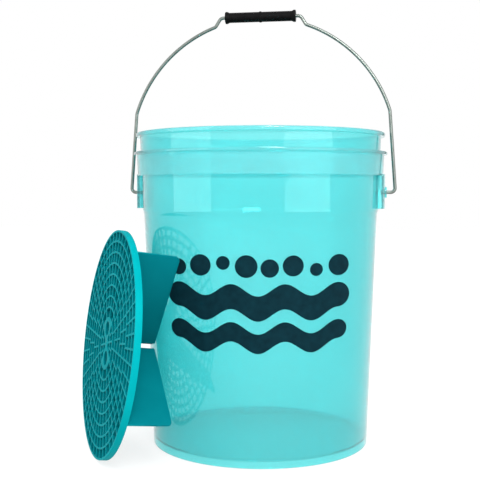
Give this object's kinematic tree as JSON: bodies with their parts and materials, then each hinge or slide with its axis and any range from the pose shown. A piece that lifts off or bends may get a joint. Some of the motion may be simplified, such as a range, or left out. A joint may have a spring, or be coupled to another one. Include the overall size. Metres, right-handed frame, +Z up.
{
  "type": "car wash bucket with grit guard",
  "caption": "Translucent car wash bucket with a tapered wall, lid rim and hanging skirt, a wire bail with a black grip, and a loose round grit guard leaning on its side.",
  "frame": {"origin": "centre of the bucket's foot ring, on the ground", "axes": "+Z up, X along the bail's pivot axis through both ears, printed front facing -Y, grit guard on the -X -Y side"},
  "size_m": [0.3872, 0.3693, 0.5152],
  "materials": {
    "bucket_plastic": "glossy translucent turquoise polypropylene",
    "print_ink": "dark navy screen ink",
    "bail_steel": "dull zinc plated steel wire",
    "grip_plastic": "satin black moulded plastic",
    "guard_plastic": "satin opaque teal polypropylene"
  },
  "bodies": {
    "bucket": {"bucket_shell": "bucket_plastic", "front_print": "print_ink"},
    "bail": {"bail_wire": "bail_steel"},
    "grip": {"bail_grip": "grip_plastic"},
    "grit_guard": {"guard_grille": "guard_plastic", "guard_vane_1": "guard_plastic", "guard_vane_2": "guard_plastic", "guard_vane_3": "guard_plastic", "guard_vane_4": "guard_plastic"}
  },
  "joints": [
    {"name": "bail_pivot", "type": "hinge", "parent": "bucket", "child": "bail", "pos_m": [0, 0, 0.299], "axis": [1, 0, 0], "range_deg": [-137, 105]},
    {"name": "grip_spin", "type": "hinge", "parent": "bail", "child": "grip", "pos_m": [0, 0, 0.508], "axis": [1, 0, 0], "continuous": true},
    {"name": "guard_slide", "type": "slide", "parent": "bucket", "child": "grit_guard", "axis": [-0.8695, -0.4939, 0], "range_m": [0, 0.25]}
  ]
}
